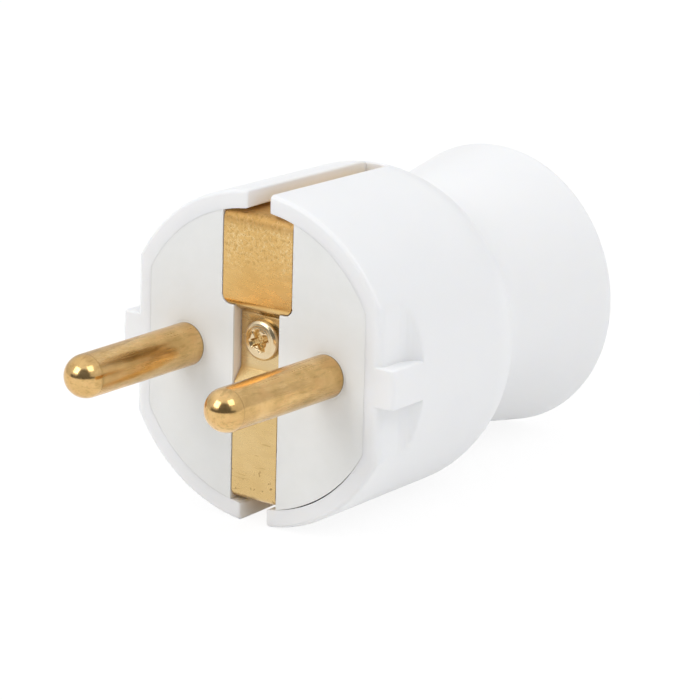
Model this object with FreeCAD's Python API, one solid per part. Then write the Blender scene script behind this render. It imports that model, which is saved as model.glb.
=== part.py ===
import FreeCAD, Part
import math
import os

os.makedirs("parts", exist_ok=True)
Vector = FreeCAD.Vector

# Rewirable earthed mains plug, type F, in millimetres.
# The origin is the centre of the engagement face, midway between the pins.
# The pins point to -Y, the body lies towards +Y, +Z is up and +X is right as seen from the pins' side.

# Contact pins, by the standard's sheet
pin_diameter = 4.8
pin_pitch = 19.0
pin_length = 19.2
pin_seat_diameter = 5.2
pin_head_diameter = 6.4
pin_head_length = 8.0
wire_hole_diameter = 3.2
wire_hole_depth = 6.5

# Housing, outside
body_diameter = 37.0
sleeve_draft = 0.4
sleeve_length = 19.4
front_round = 0.5
shoulder_round = 7.6
shoulder_slope = 50.0
waist_round = 5.0
body_length = 44.3
rim_diameter = 31.8
rim_round = 0.8

# Side flats with their guide ribs
flats_across = 33.2
flat_length = 3.2
flat_runout = 2.4
flat_front_round = 1.0
rib_width = 4.4

# Earth slots through the sleeve, top and bottom
slot_width = 3.6
top_slot_width = 3.0
slot_past_sleeve = 1.4

# Soft outer edges of the slots and ribs
edge_round = 0.25

# Housing, inside
mouth_wall = 2.0
cavity_wall = 2.4
bell_wall = 2.0
bell_mouth_round = 0.6
web_thickness = 2.8
pillar_diameter = 6.0
cord_hole_diameter = 8.4
cord_hole_land = 0.6

# Pin carrier
plate_thickness = 8.0
top_tongue_width = 10.0
top_tongue_thickness = 1.9
lower_tongue_width = 17.2
lower_tongue_thickness = 3.0
tongue_to_web = 4.6
barrier_thickness = 1.2
barrier_past_head = 1.0
barrier_top = 8.0

# Earth strap
strap_thickness = 0.8
strap_width = 6.0
strap_bend = 0.3
pad_width = 9.3
pad_recess = 0.05
pad_bottom = 5.6
pad_corner = 1.0
leg_narrows_at = 2.6
leg_short_of_slot = 0.4
dip_depth = 1.3
dip_above_screw = 2.7
dip_below_screw = 3.5
lower_ramp = 1.7

# Assembly screw and the bush in the pillar that it draws on
screw_height = 2.0
screw_diameter = 2.5
screw_tip_gap = 0.65
screw_head_diameter = 4.6
screw_head_height = 1.0
screw_head_round = 0.4
cross_span = 2.5
cross_width = 0.75
cross_depth = 0.7
insert_diameter = 4.2
insert_length = 7.0

# Terminal screws of the pins and of the earth strap, slotted cheese heads
terminal_diameter = 3.0
terminal_head_diameter = 4.8
terminal_head_height = 1.8
driver_slot_width = 0.8
driver_slot_depth = 0.8
terminal_set_back = 4.5
terminal_stand_off = 0.6
earth_nut_side = 5.5
earth_nut_thickness = 2.2
earth_washer_thickness = 0.9
earth_screw_tail = 0.8

# Cord clamp on the lower tongue
clamp_from_end = 3.0
clamp_pitch = 12.8
clamp_post_diameter = 4.4
clamp_post_height = 4.7
clamp_bar_width = 4.4
clamp_bar_thickness = 2.2
clamp_bar_overhang = 2.0
clamp_ridge = 0.7
clamp_screw_diameter = 2.9
clamp_screw_bite = 4.4
clamp_head_diameter = 4.2
clamp_head_height = 1.5

# Clearances
seam_gap = 0.05
pin_gap = 0.03
strap_gap = 0.12
key_gap = 0.15
thread_gap = 0.03
hole_gap = 0.2
cavity_gap = 0.3
barrier_gap = 0.8
barrier_lift = 0.5
tab_gap = 0.7

# Edges are picked out by their place to within this length
edge_match = 0.0001

# Worked out from the sizes above
pin_radius = pin_diameter / 2
pin_seat_radius = pin_seat_diameter / 2
pin_head_radius = pin_head_diameter / 2
body_radius = body_diameter / 2
sleeve_back_radius = body_radius - sleeve_draft
rim_radius = rim_diameter / 2
bore_radius = body_radius - mouth_wall
flat_half = flats_across / 2
inner_flat_half = flat_half - mouth_wall
pillar_radius = pillar_diameter / 2
cord_hole_radius = cord_hole_diameter / 2
cord_hole_height = screw_height - pillar_radius - cord_hole_land - cord_hole_radius
slope = math.radians(shoulder_slope)
shoulder_centre = (sleeve_back_radius - shoulder_round, sleeve_length)
waist_centre = (
    shoulder_centre[0] + (shoulder_round + waist_round) * math.cos(slope),
    shoulder_centre[1] + (shoulder_round + waist_round) * math.sin(slope),
)
waist_radius = waist_centre[0] - waist_round
slot_length = sleeve_length + slot_past_sleeve
web_front = waist_centre[1] - web_thickness / 2
web_back = waist_centre[1] + web_thickness / 2
leg_end = slot_length - leg_short_of_slot
key_half = strap_width / 2 + strap_gap
key_reach = math.sqrt((bore_radius - seam_gap) ** 2 - key_half ** 2)
leg_reach = key_reach - key_gap
leg_seat = leg_reach - strap_thickness
top_tongue_under = leg_seat - top_tongue_thickness
lower_tongue_top = lower_tongue_thickness - leg_seat
dip_face = pad_recess + dip_depth
dip_top = screw_height + dip_above_screw
dip_bottom = screw_height - dip_below_screw
tab_face = leg_end - strap_thickness
earth_height = top_tongue_under - earth_nut_side / 2 - thread_gap
tab_low = earth_height - earth_nut_side / 2
screw_length = plate_thickness + insert_length - screw_tip_gap - dip_face
lower_tongue_end = web_front - tongue_to_web
clamp_place = lower_tongue_end - clamp_from_end
clamp_seat = lower_tongue_top + clamp_post_height
clamp_bar_top = clamp_seat + clamp_bar_thickness
clamp_screw_length = clamp_bar_thickness + clamp_screw_bite
terminal_place = plate_thickness + terminal_set_back
barrier_end = plate_thickness + pin_head_length + barrier_past_head
barrier_bottom = clamp_bar_top + clamp_head_height + barrier_lift
far = body_length + body_diameter


# Drawing helpers

def box(x0, x1, y0, y1, z0, z1):
    """A block between three pairs of limits."""
    return Part.makeBox(x1 - x0, y1 - y0, z1 - z0, Vector(x0, y0, z0))


def rod(radius, x, y0, y1, z):
    """A round bar along +Y from y0 to y1."""
    return Part.makeCylinder(radius, y1 - y0, Vector(x, y0, z), Vector(0, 1, 0))


def post(radius, x, y, z0, z1):
    """A round bar along +Z from z0 to z1."""
    return Part.makeCylinder(radius, z1 - z0, Vector(x, y, z0), Vector(0, 0, 1))


def crosswise(radius, half_length, y, z):
    """A round bar along X, centred on the middle plane."""
    return Part.makeCylinder(radius, 2 * half_length, Vector(-half_length, y, z), Vector(1, 0, 0))


def line(start, end):
    return Part.LineSegment(start, end).toShape()


def ring_arc(centre, radius, start, end):
    """An arc in the (radius, along) half-plane, angles in radians from outward towards +Y."""
    middle = Vector(centre[0], centre[1], 0)
    spots = []
    for angle in (start, (start + end) / 2, end):
        spots.append(middle + Vector(math.cos(angle), math.sin(angle), 0) * radius)
    return Part.Arc(*spots).toShape()


def chain(pieces):
    """Joins edges and bare (radius, along) points, in order, into one closed wire with straight links."""
    edges = []
    ends = []
    for piece in pieces:
        if isinstance(piece, tuple):
            spot = Vector(piece[0], piece[1], 0)
            ends.append((spot, spot, None))
        else:
            first = piece.valueAt(piece.FirstParameter)
            last = piece.valueAt(piece.LastParameter)
            ends.append((first, last, piece))
    for index, (first, last, edge) in enumerate(ends):
        if edge is not None:
            edges.append(edge)
        following = ends[(index + 1) % len(ends)][0]
        if last.distanceToPoint(following) > 1e-7:
            edges.append(line(last, following))
    return Part.Wire(edges)


def turned(pieces):
    """A solid turned about the Y axis from a closed half-profile."""
    return Part.Face(chain(pieces)).revolve(Vector(0, 0, 0), Vector(0, 1, 0), 360)


def fuse_all(first, others):
    return first.multiFuse(others).removeSplitter()


def mirrored_x(shape):
    return shape.mirror(Vector(0, 0, 0), Vector(1, 0, 0))


def both_sides(shape):
    """The shape made for the right side and its mirror image on the left."""
    return [shape, mirrored_x(shape)]


# Housing

def housing_skin():
    """The moulding's outside: drafted sleeve, round shoulder, waist and flared bell, turned about Y."""
    front = ring_arc((body_radius - front_round, front_round), front_round, -math.pi / 2, 0)
    shoulder = ring_arc(shoulder_centre, shoulder_round, 0, slope)
    rim_along = body_length - rim_round
    across = rim_radius - waist_centre[0]
    along = rim_along - waist_centre[1]
    flare = math.asin(waist_round / math.hypot(across, along)) - math.atan2(-across, along)
    waist = ring_arc(waist_centre, waist_round, math.pi + slope, math.pi - flare)
    rim = ring_arc((rim_radius - rim_round, rim_along), rim_round, 0, math.pi / 2)
    return turned([(0, 0), front, shoulder, waist, rim, (0, body_length)])


def cavity(wall, start):
    """The front hollow from start back to the web, its wall keeping beside the shoulder and the waist."""
    radius = sleeve_back_radius - wall
    shoulder = ring_arc(shoulder_centre, shoulder_round - wall, 0, slope)
    turn = math.asin((waist_centre[1] - web_front) / (waist_round + wall))
    waist = ring_arc(waist_centre, waist_round + wall, math.pi + slope, math.pi + turn)
    hollow = turned([(0, start), (radius, start), shoulder, waist, (0, web_front)])
    return hollow.common(box(-inner_flat_half, inner_flat_half, start, far, -far, far))


def bell_hollow():
    """The rear hollow behind the web, with a rounded mouth."""
    mouth = rim_radius - bell_wall
    floor = waist_radius - bell_wall
    lip_centre = (mouth + bell_mouth_round, body_length - bell_mouth_round)
    lip = ring_arc(lip_centre, bell_mouth_round, math.pi, math.pi / 2)
    return turned([(0, web_back), (floor, web_back), lip, (lip_centre[0], far), (0, far)])


def flat_cut():
    """One side's flat: rounded at the front, run out along an arc at the back, leaving the guide rib."""
    front = flat_half - flat_front_round
    back = flat_length + flat_runout
    lead = ring_arc((front, flat_front_round), flat_front_round, -math.pi / 2, 0)
    runout = ring_arc((flat_half + flat_runout, flat_length), flat_runout, math.pi, math.pi / 2)
    outline = chain([(front, -far), lead, runout, (far, back), (far, -far)])
    cut = Part.Face(outline).extrude(Vector(0, 0, 2 * far)).translated(Vector(0, 0, -far))
    return cut.cut(box(0, far, -far, far, -rib_width / 2, rib_width / 2))


def level(low, high, value):
    """Whether a span has no length and lies at value, on either side of the middle."""
    return high - low < edge_match and abs(abs(low) - value) < edge_match


def slot_rims(shell):
    """The earth slots' outer edges: along their sides, over the front edge and across their back end."""
    rims = []
    for edge in shell.Edges:
        span = edge.BoundBox
        width = top_slot_width if span.ZMin > 0 else slot_width
        outside = span.ZMin * span.ZMax > 0 and min(abs(span.ZMin), abs(span.ZMax)) > key_reach
        at_end = level(span.YMin, span.YMax, slot_length)
        beside = level(span.XMin, span.XMax, width / 2) and not at_end
        across = at_end and edge_match < span.XLength < width + edge_match
        if outside and (beside or across):
            rims.append(edge)
    return rims


def rib_rims(shell):
    """The guide ribs' outer edges, from the round at the front to where the flat has run out."""
    rims = []
    for edge in shell.Edges:
        span = edge.BoundBox
        nearest = min(abs(span.XMin), abs(span.XMax))
        on_rib = level(span.ZMin, span.ZMax, rib_width / 2) and span.YLength > edge_match
        if on_rib and nearest > flat_half + edge_match:
            rims.append(edge)
    return rims


def carrier_bore(gap):
    """The room for the carrier's plate in the sleeve's mouth, smaller by gap all round."""
    radius = bore_radius - gap
    half = inner_flat_half - gap
    return rod(radius, 0, 0, plate_thickness, 0).common(box(-half, half, 0, plate_thickness, -far, far))


def make_housing():
    key_end = leg_end + tab_gap
    slot_half = slot_width / 2
    top_half = top_slot_width / 2
    hollow = fuse_all(carrier_bore(0), [
        cavity(cavity_wall, 0),
        box(-key_half, key_half, 0, key_end, -key_reach, key_reach),
        box(-slot_half, slot_half, -front_round, slot_length, -far, -leg_seat),
        box(-top_half, top_half, -front_round, slot_length, leg_seat, far),
        bell_hollow(),
    ])
    pillar = rod(pillar_radius, 0, plate_thickness, waist_centre[1], screw_height)
    shell = housing_skin().cut(hollow)
    for cut in both_sides(flat_cut()):
        shell = shell.cut(cut)
    shell = fuse_all(shell, [pillar])
    shell = shell.makeFillet(edge_round, slot_rims(shell) + rib_rims(shell))
    insert_end = plate_thickness + insert_length
    shell = shell.cut(rod(insert_diameter / 2 + thread_gap, 0, plate_thickness, insert_end, screw_height))
    return shell.cut(rod(cord_hole_radius, 0, plate_thickness, far, cord_hole_height))


# Earth strap: a strip folded along a path in the Y-Z plane

def path_of_front():
    """The strap's front corners between its two legs, from the top fold down to the lower fold."""
    return [
        (pad_recess, leg_reach),
        (pad_recess, pad_bottom),
        (dip_face, dip_top),
        (dip_face, dip_bottom),
        (pad_recess, dip_bottom - lower_ramp),
        (pad_recess, -leg_reach),
    ]


def unit(start, end):
    length = math.hypot(end[0] - start[0], end[1] - start[1])
    return ((end[0] - start[0]) / length, (end[1] - start[1]) / length)


def turn_of(points, index):
    """Sine of the turn at a corner, positive to the left."""
    before = unit(points[index - 1], points[index])
    after = unit(points[index], points[index + 1])
    return before[0] * after[1] - before[1] * after[0]


def shifted(points, distance):
    """The path moved to its left by distance, its corners where the moved runs meet."""
    moved = []
    for index, spot in enumerate(points):
        before = unit(points[index - 1], spot) if index else unit(spot, points[1])
        after = unit(spot, points[index + 1]) if index < len(points) - 1 else before
        scale = distance / (1 + before[0] * after[0] + before[1] * after[1])
        moved.append((spot[0] - (before[1] + after[1]) * scale, spot[1] + (before[0] + after[0]) * scale))
    return moved


def rounded_run(points, left_radius, right_radius):
    """Edges along a path whose left and right turns are rounded by their own radii."""
    edges = []
    last = Vector(0, *points[0])
    for index in range(1, len(points) - 1):
        sine = turn_of(points, index)
        radius = left_radius if sine > 0 else right_radius
        corner = Vector(0, *points[index])
        before = Vector(0, *unit(points[index - 1], points[index]))
        after = Vector(0, *unit(points[index], points[index + 1]))
        half = before.getAngle(after) / 2
        trim = radius * math.tan(half)
        inward = (after - before).normalize()
        middle = corner + inward * (radius / math.cos(half) - radius)
        entry = corner - before * trim
        leave = corner + after * trim
        edges.append(line(last, entry))
        edges.append(Part.Arc(entry, middle, leave).toShape())
        last = leave
    edges.append(line(last, Vector(0, *points[-1])))
    return edges


def strap_mask(gap):
    """The strap's outline from the front, wide at the pad, with its narrow legs, larger by gap."""
    wide = pad_width / 2 + gap
    slim = strap_width / 2 + gap
    low = pad_bottom - gap
    turn = pad_corner + gap
    sag = turn * (1 - math.sqrt(0.5))
    spots = [Vector(wide - turn, 0, low), Vector(wide - sag, 0, low + sag), Vector(wide, 0, low + turn)]
    corner = Part.Arc(*spots).toShape()
    pad = Part.Wire([
        line(Vector(0, 0, low), spots[0]), corner, line(spots[2], Vector(wide, 0, far)),
        line(Vector(wide, 0, far), Vector(0, 0, far)), line(Vector(0, 0, far), Vector(0, 0, low)),
    ])
    pad = Part.Face(pad).extrude(Vector(0, 2 * far, 0)).translated(Vector(0, -far, 0))
    pad = pad.common(rod(bore_radius - key_gap + gap, 0, -far, far, 0))
    stem = box(-slim, slim, -far, far, -far, far)
    slim_from = leg_narrows_at + gap
    mask = fuse_all(pad, [mirrored_x(pad), stem])
    beside = box(slim, far, slim_from, far, -far, far)
    for side in both_sides(beside):
        mask = mask.cut(side)
    return mask


def make_earth_strap():
    front = [(leg_end, tab_low), (leg_end, leg_reach)] + path_of_front() + [(leg_end, -leg_reach)]
    back = shifted(front, strap_thickness)
    outer = strap_bend + strap_thickness
    edges = rounded_run(front, outer, strap_bend)
    edges.append(line(Vector(0, *front[-1]), Vector(0, *back[-1])))
    edges += rounded_run(back[::-1], outer, strap_bend)
    edges.append(line(Vector(0, *back[0]), Vector(0, *front[0])))
    section = Part.Face(Part.Wire(edges))
    strip = section.extrude(Vector(pad_width, 0, 0)).translated(Vector(-pad_width / 2, 0, 0))
    strip = strip.common(strap_mask(0))
    strip = strip.cut(rod(screw_diameter / 2 + hole_gap, 0, 0, plate_thickness, screw_height))
    hole = terminal_diameter / 2 + hole_gap
    return strip.cut(rod(hole, 0, tab_face - tab_gap, leg_end + tab_gap, earth_height))


def strap_channel():
    """The room in front of and around the strap's back, cut out of the carrier."""
    front = [(far, leg_reach)] + path_of_front() + [(far, -leg_reach)]
    back = shifted(front, strap_thickness)
    edges = rounded_run(back, strap_bend, strap_bend + strap_thickness)
    outside = [back[-1], (far, -far), (-far, -far), (-far, far), (far, far), back[0]]
    for start, end in zip(outside, outside[1:]):
        edges.append(line(Vector(0, *start), Vector(0, *end)))
    room = Part.Face(Part.Wire(edges)).extrude(Vector(2 * far, 0, 0)).translated(Vector(-far, 0, 0))
    return room.common(strap_mask(strap_gap))


# Pin carrier

def barrier():
    """The wall between the right pin's terminal and the middle of the carrier."""
    outer = pin_pitch / 2 - pin_head_radius - barrier_gap
    inner = outer - barrier_thickness
    return box(inner, outer, plate_thickness, barrier_end, barrier_bottom, barrier_top)


def make_pin_carrier():
    clamp_half = clamp_pitch / 2
    lower_half = lower_tongue_width / 2
    top_half = top_tongue_width / 2
    lower_tongue = box(-lower_half, lower_half, plate_thickness, lower_tongue_end, -far, lower_tongue_top)
    rear = fuse_all(lower_tongue, [
        box(-top_half, top_half, plate_thickness, tab_face - tab_gap, top_tongue_under, far),
        post(clamp_post_diameter / 2, clamp_half, clamp_place, -far, clamp_seat),
        post(clamp_post_diameter / 2, -clamp_half, clamp_place, -far, clamp_seat),
        crosswise(clamp_ridge, clamp_half, clamp_place, lower_tongue_top),
    ] + both_sides(barrier()))
    rear = rear.common(cavity(cavity_wall + cavity_gap, plate_thickness))
    carrier = fuse_all(carrier_bore(seam_gap), [rear]).cut(strap_channel())
    carrier = carrier.cut(rod(pillar_radius + hole_gap, 0, plate_thickness, far, screw_height))
    carrier = carrier.cut(rod(screw_diameter / 2 + hole_gap, 0, 0, plate_thickness, screw_height))
    for side in (1, -1):
        carrier = carrier.cut(rod(pin_seat_radius + pin_gap, side * pin_pitch / 2, 0, plate_thickness, 0))
        tip = clamp_seat - clamp_screw_bite - thread_gap
        pilot = post(clamp_screw_diameter / 2 + thread_gap, side * clamp_half, clamp_place, tip, far)
        carrier = carrier.cut(pilot)
    return carrier


# Pins and their terminal screws

def make_pin(side):
    """A turned pin: round tip, shank, land in the carrier, and a thick end bored for the wire and tapped."""
    x = side * pin_pitch / 2
    head_end = plate_thickness + pin_head_length
    tip = ring_arc((0, pin_radius - pin_length), pin_radius, -math.pi / 2, 0)
    body = turned([
        tip, (pin_radius, 0), (pin_seat_radius, 0), (pin_seat_radius, plate_thickness),
        (pin_head_radius, plate_thickness), (pin_head_radius, head_end), (0, head_end),
    ]).translated(Vector(x, 0, 0))
    body = body.cut(rod(wire_hole_diameter / 2, x, head_end - wire_hole_depth, far, 0))
    return body.cut(post(terminal_diameter / 2 + thread_gap, x, terminal_place, 0, far))


def slotted_screw(diameter, length, head_diameter, head_height):
    """A cheese-head screw standing on +Z, its head's underside at the origin."""
    head = post(head_diameter / 2, 0, 0, 0, head_height)
    half = driver_slot_width / 2
    floor = head_height - driver_slot_depth
    head = head.cut(box(-head_diameter, head_diameter, -half, half, floor, head_height))
    return fuse_all(post(diameter / 2, 0, 0, -length, 0), [head])


def make_pin_terminal_screws():
    seat = pin_head_radius + terminal_stand_off
    length = seat - wire_hole_diameter / 4
    screw = slotted_screw(terminal_diameter, length, terminal_head_diameter, terminal_head_height)
    spots = [Vector(side * pin_pitch / 2, terminal_place, seat) for side in (1, -1)]
    return Part.makeCompound([screw.translated(spot) for spot in spots])


# Earth wire's clamp on the strap's tab

def earth_square(y0, y1):
    """A square plate between y0 and y1 on the earth terminal's axis."""
    half = earth_nut_side / 2
    return box(-half, half, y0, y1, earth_height - half, earth_height + half)


def make_earth_terminal_nut():
    nut = earth_square(tab_face - earth_nut_thickness, tab_face)
    return nut.cut(rod(terminal_diameter / 2 + thread_gap, 0, 0, far, earth_height))


def make_earth_clamp_washer():
    washer = earth_square(leg_end, leg_end + earth_washer_thickness)
    return washer.cut(rod(terminal_diameter / 2 + hole_gap, 0, 0, far, earth_height))


def make_earth_terminal_screw():
    length = earth_washer_thickness + strap_thickness + earth_nut_thickness + earth_screw_tail
    screw = slotted_screw(terminal_diameter, length, terminal_head_diameter, terminal_head_height)
    screw = screw.rotated(Vector(0, 0, 0), Vector(1, 0, 0), -90)
    return screw.translated(Vector(0, leg_end + earth_washer_thickness, earth_height))


# Assembly screw and its bush

def make_assembly_screw():
    """A pan-head screw with a cross recess, its head against the bottom of the strap's dip."""
    radius = screw_head_diameter / 2
    crown_centre = (radius - screw_head_round, screw_head_round - screw_head_height)
    crown = ring_arc(crown_centre, screw_head_round, -math.pi / 2, 0)
    shank = screw_diameter / 2
    screw = turned([
        (0, -screw_head_height), crown, (radius, 0),
        (shank, 0), (shank, screw_length), (0, screw_length),
    ])
    floor = cross_depth - screw_head_height
    half = cross_width / 2
    reach = cross_span / 2
    screw = screw.cut(box(-reach, reach, -screw_head_height, floor, -half, half))
    screw = screw.cut(box(-half, half, -screw_head_height, floor, -reach, reach))
    return screw.translated(Vector(0, dip_face, screw_height))


def make_threaded_insert():
    bush = rod(insert_diameter / 2, 0, plate_thickness, plate_thickness + insert_length, screw_height)
    return bush.cut(rod(screw_diameter / 2 + thread_gap, 0, 0, far, screw_height))


# Cord clamp

def make_cord_clamp_bar():
    """A bar with rounded ends on the two posts, with a ridge underneath that bites on the cord."""
    half = clamp_pitch / 2
    end = clamp_bar_overhang + half
    edge = clamp_bar_width / 2
    reach = end - edge
    middle = box(-reach, reach, clamp_place - edge, clamp_place + edge, clamp_seat, clamp_bar_top)
    rounds = [post(edge, side * reach, clamp_place, clamp_seat, clamp_bar_top) for side in (1, -1)]
    ridge_half = half - clamp_post_diameter / 2 - hole_gap
    bar = fuse_all(middle, rounds + [crosswise(clamp_ridge, ridge_half, clamp_place, clamp_seat)])
    for side in (1, -1):
        bar = bar.cut(post(clamp_screw_diameter / 2 + hole_gap, side * half, clamp_place, -far, far))
    return bar


def make_cord_clamp_screws():
    screw = slotted_screw(clamp_screw_diameter, clamp_screw_length, clamp_head_diameter, clamp_head_height)
    spots = [Vector(side * clamp_pitch / 2, clamp_place, clamp_bar_top) for side in (1, -1)]
    return Part.makeCompound([screw.translated(spot) for spot in spots])


pieces = {
    "housing": make_housing(),
    "pin_carrier": make_pin_carrier(),
    "left_pin": make_pin(-1),
    "right_pin": make_pin(1),
    "pin_terminal_screws": make_pin_terminal_screws(),
    "earth_strap": make_earth_strap(),
    "earth_terminal_nut": make_earth_terminal_nut(),
    "earth_clamp_washer": make_earth_clamp_washer(),
    "earth_terminal_screw": make_earth_terminal_screw(),
    "assembly_screw": make_assembly_screw(),
    "threaded_insert": make_threaded_insert(),
    "cord_clamp_bar": make_cord_clamp_bar(),
    "cord_clamp_screws": make_cord_clamp_screws(),
}
for node, shape in pieces.items():
    shape.exportStep("parts/" + node + ".step")
    print(node, "solids", len(shape.Solids), "valid", shape.isValid(), "volume", round(shape.Volume, 1))
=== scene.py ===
import math

import bmesh
import bpy
import numpy as np
from mathutils import Matrix, Vector


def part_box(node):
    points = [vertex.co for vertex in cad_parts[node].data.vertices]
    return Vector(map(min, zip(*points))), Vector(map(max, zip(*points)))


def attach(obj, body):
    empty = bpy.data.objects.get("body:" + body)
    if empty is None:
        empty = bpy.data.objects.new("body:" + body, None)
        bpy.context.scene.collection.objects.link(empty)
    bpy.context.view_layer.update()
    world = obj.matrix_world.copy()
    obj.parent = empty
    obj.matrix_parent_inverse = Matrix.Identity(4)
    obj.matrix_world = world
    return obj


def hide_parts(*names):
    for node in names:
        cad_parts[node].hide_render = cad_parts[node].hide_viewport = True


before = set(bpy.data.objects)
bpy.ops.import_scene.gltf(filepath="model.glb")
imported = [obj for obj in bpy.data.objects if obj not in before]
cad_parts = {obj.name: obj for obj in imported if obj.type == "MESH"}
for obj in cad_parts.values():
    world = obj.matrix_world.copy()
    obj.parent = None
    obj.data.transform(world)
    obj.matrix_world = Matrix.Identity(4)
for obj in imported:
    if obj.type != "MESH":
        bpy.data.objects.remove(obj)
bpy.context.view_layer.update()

MM = 0.001

# Camera, from a fit of the plug's known sizes to the photograph
CAMERA_AZIMUTH = math.radians(37.03)
CAMERA_ELEVATION = math.radians(15.75)
CAMERA_ROLL = math.radians(1.40)
CAMERA_DISTANCE = 550 * MM
CAMERA_TARGET = Vector((12.62, 0.0, 3.50)) * MM
IMAGE_SIDE = 700
FOCAL_PIXELS = 5220.0
SENSOR = 36.0
CLIP_START = 0.01
CLIP_END = 20.0

# Sizes shared with the solids
PIN_RADIUS = 2.4 * MM
PIN_LENGTH = 19.2 * MM
PIN_OFFSET = 9.5 * MM
PIN_SEAT_RADIUS = 2.6 * MM
PAD_BOTTOM = 5.6 * MM
SLEEVE_RADIUS = 18.5 * MM
SLEEVE_LENGTH = 19.4 * MM
SLEEVE_DRAFT = 0.4 * MM
FLAT_LENGTH = 3.2 * MM
FLAT_RUNOUT = 2.4 * MM
SLOT_LENGTH = 20.8 * MM
BELL_RIM_BACK = 43.5 * MM
BELL_RIM_RADIUS = 15.9 * MM
PLATE_THICKNESS = 8.0 * MM
SEAM_GAP = 0.05 * MM

# Assembly screw: its place, its profile and its cross
SCREW_HEIGHT = 2.0 * MM
SCREW_FACE = 0.35 * MM
CROWN_RADIUS = 1.55 * MM
CROWN_RISE = 0.15 * MM
EDGE_DEPTH = 0.65 * MM
HEAD_RADIUS = 2.3 * MM
HEAD_BACK = 1.35 * MM
SHANK_RADIUS = 1.25 * MM
SHANK_END = 14.35 * MM
CROWN_STATIONS = 70
EDGE_STATIONS = 20
SCREW_COLUMNS = 208
CROSS_TILT = math.radians(23)
ARM_LENGTH = 1.3 * MM
ARM_HALF = 0.46 * MM
ARM_TIP_HALF = 0.32 * MM
ARM_SIDE_EASE = 0.36 * MM
ARM_END = 1.34 * MM
ARM_END_EASE = 0.4 * MM
ARM_DEPTH = 0.7 * MM
ARM_SLOPE = 0.2
CONE_RADIUS = 1.1 * MM
CONE_DEPTH = 0.45 * MM

# Seam round the carrier: tight, and open between two angles at the lower right
SEAM_TIGHT = 0.015 * MM
SEAM_OPENING = 0.13 * MM
SEAM_START = math.radians(-80)
SEAM_STOP = math.radians(-30)

# Small rounds, and how far from the middle the channel's edges reach
STRAP_ROUND = 0.3 * MM
STRAP_ROUND_SEGMENTS = 4
CHANNEL_ROUND = 0.15 * MM
CHANNEL_ROUND_SEGMENTS = 3
CHANNEL_HALF = 5.2 * MM
CHANNEL_END = 15.4 * MM

# How much further a pin's land reaches than in the solids
LAND_GROWTH = 0.02 * MM

# Corners are picked out by their place to within these lengths
PLACE_MATCH = 0.01 * MM
SLEEVE_MATCH = 0.03 * MM
RUNOUT_MATCH = 0.1 * MM

# Corners closer than these are one corner
MERGE_DISTANCE = 2e-6
POLE_DISTANCE = 1e-7

# Smooth shading stops at edges sharper than these
SHARP_EDGE = math.radians(28)
SCREW_SHARP_EDGE = math.radians(38)

# Edges sharper than the first get a small round, and faces within the second lie in one plane
ROUNDED_EDGE = math.radians(40)
SAME_PLANE = math.radians(0.6)

# Table top
FLOOR_FRONT = 0.5 * MM
FLOOR_REACH = 3.0
FLOOR_SIDES = ((-1, -1), (1, -1), (1, 1), (-1, 1))
FLOOR_BOUNCE = (0.93, 0.93, 0.93)
FLOOR_SHADOW = (0.13, 0.13, 0.13)
FLOOR_GLOW = 0.9

# Studio surround: tones by height, and the directions that are dimmer
WORLD_STRENGTH = 1.04
HORIZON_TONE = (0.70, 0.70, 0.71)
HORIZON_HEIGHT = 0.15
CEILING_TONE = (0.975, 0.985, 1.0)
CEILING_HEIGHT = 0.75
DARK_DIRECTION = (0.45, -0.86, 0.25)
DARK_INNER = math.radians(22)
DARK_OUTER = math.radians(46)
DARK_SHARE = 0.22
BAND_DIRECTION = (0.33, -0.94, 0.0)
BAND_INNER = math.radians(58)
BAND_OUTER = math.radians(76)
BAND_LOW = 0.1
BAND_TOP = 0.24
BACK_DIRECTION = (-0.05, 0.80, 0.60)
BACK_INNER = math.radians(25)
BACK_OUTER = math.radians(60)
BACK_SHARE = 0.82

# Softboxes, with directions along the camera's right, up and back
LEFT_SOFTBOX = (-0.70, 0.42, 0.577)
RIGHT_SOFTBOX = (0.383, 0.588, 0.712)
SOFTBOX_DISTANCE = 0.9
SOFTBOX_SIDE = 0.45
LEFT_POWER = 1.75
RIGHT_POWER = 1.15


# Node trees

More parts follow.
